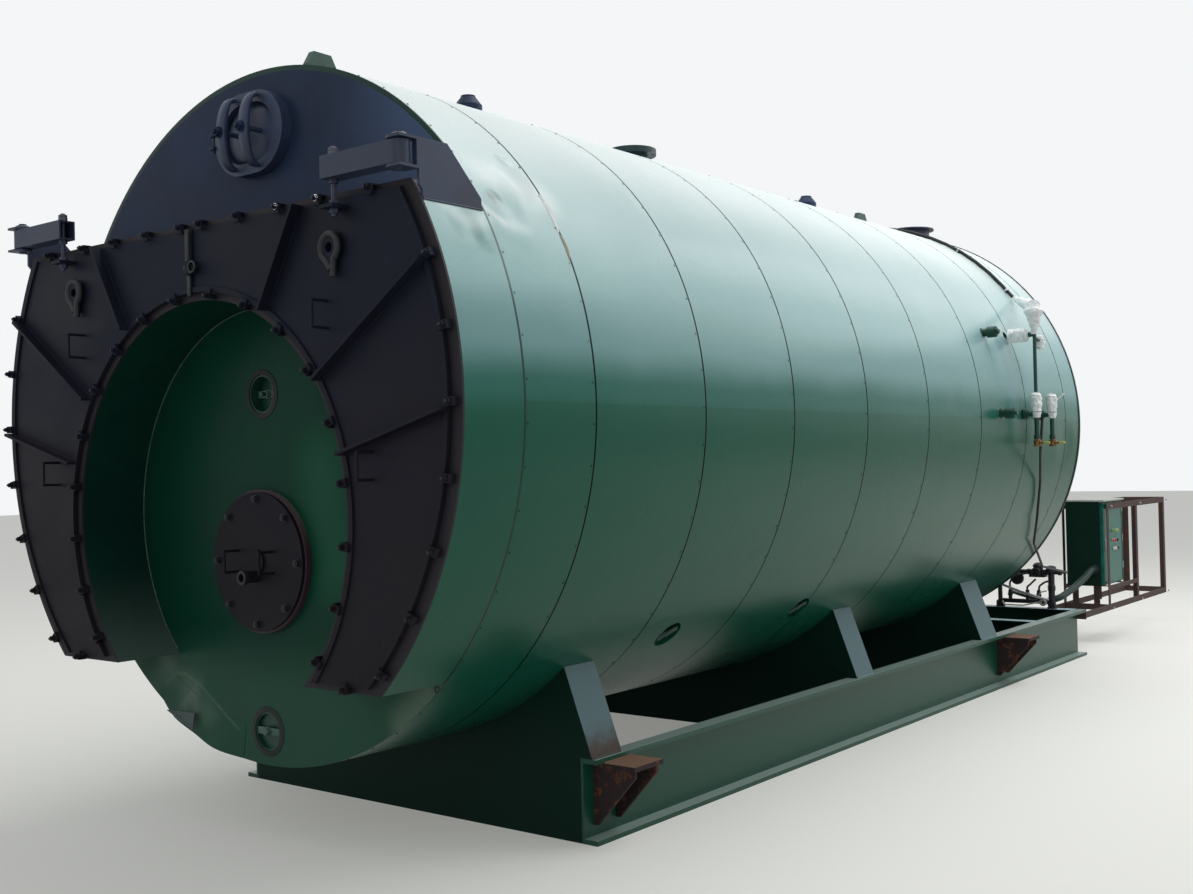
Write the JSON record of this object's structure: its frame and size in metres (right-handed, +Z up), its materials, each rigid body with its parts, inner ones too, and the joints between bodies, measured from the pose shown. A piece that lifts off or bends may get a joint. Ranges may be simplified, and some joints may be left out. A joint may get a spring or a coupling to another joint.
{
  "type": "industrial boiler",
  "caption": "Horizontal fire-tube boiler on a steel skid, with half doors that davits swing away from the smokebox and a caged control panel at the burner end.",
  "frame": {"origin": "on the floor, under the middle of the middle saddle, in the boiler's centre plane", "axes": "+Y along the shell from the smokebox end to the burner end, +X to the side with the water level fittings, +Z up"},
  "size_m": [3.761, 11.862, 4.164],
  "materials": {
    "black_conduit": "ribbed sleeve",
    "blue_paint": "matt primer paint",
    "brass": "dull",
    "brown_steel": "matt primer, rusting",
    "dark_green": "semi-gloss paint, worn",
    "dark_steel": "matt heat-proof paint, scuffed",
    "green_paint": "semi-gloss paint, dusty",
    "rusty_steel": "burnt paint and rust",
    "white_wrap": "stretch film over the fittings"
  },
  "bodies": {
    "boiler": {"pressure_shell": "dark_steel", "jacket": "green_paint", "rear_head": "dark_steel", "front_head": "dark_steel", "casing_plate": "green_paint", "smokebox_walls": "blue_paint", "smokebox_inner_wall": "green_paint", "smokebox_flange": "blue_paint", "smokebox_band": "green_paint", "right_davit_bracket": "blue_paint", "left_davit_bracket": "blue_paint", "manway_ring": "blue_paint", "manway_cover": "dark_steel", "manway_yokes": "blue_paint", "access_ring": "dark_steel", "access_door": "dark_steel", "casing_handholes": "dark_green", "side_handholes": "dark_green", "lifting_lugs": "green_paint", "relief_nozzles": "blue_paint", "steam_nozzle": "green_paint", "vent_valve": "dark_green", "end_ring": "dark_steel", "burner_end_smokebox": "dark_steel", "burner_end_doors": "dark_steel", "burner_plate": "blue_paint", "stack_outlet": "blue_paint", "skid_beam_right": "green_paint", "skid_beam_left": "green_paint", "skid_cross_members": "dark_green", "front_saddle": "dark_green", "middle_saddle": "dark_green", "rear_saddle": "dark_green", "jacking_brackets": "rusty_steel", "level_couplings": "dark_green", "level_piping": "dark_green", "float_columns": "white_wrap", "drain_cocks": "brass", "conduits": "black_conduit", "fuel_line": "dark_steel", "fuel_valves": "dark_steel", "control_panel": "dark_green", "panel_door": "green_paint", "panel_cage": "brown_steel"},
    "right_davit": {"right_davit_arm": "blue_paint"},
    "right_half_door": {"right_door": "dark_steel"},
    "left_davit": {"left_davit_arm": "blue_paint"},
    "left_half_door": {"left_door": "dark_steel"}
  },
  "joints": [
    {"name": "right_davit_swing", "type": "hinge", "parent": "boiler", "child": "right_davit", "pos_m": [1.503, -4.376, 3.227], "axis": [0, 0, 1], "range_deg": [0, 90]},
    {"name": "right_door_turn", "type": "hinge", "parent": "right_davit", "child": "right_half_door", "pos_m": [1.09, -4.376, 3.056], "axis": [0, 0, -1], "range_deg": [0, 90]},
    {"name": "left_davit_swing", "type": "hinge", "parent": "boiler", "child": "left_davit", "pos_m": [-1.503, -4.376, 3.227], "axis": [0, 0, -1], "range_deg": [0, 90]},
    {"name": "left_door_turn", "type": "hinge", "parent": "left_davit", "child": "left_half_door", "pos_m": [-1.09, -4.376, 3.056], "axis": [0, 0, 1], "range_deg": [0, 90]}
  ],
  "couplings": [
    {"joint": "right_door_turn", "follows": "right_davit_swing", "ratio": 1},
    {"joint": "left_door_turn", "follows": "left_davit_swing", "ratio": 1}
  ]
}
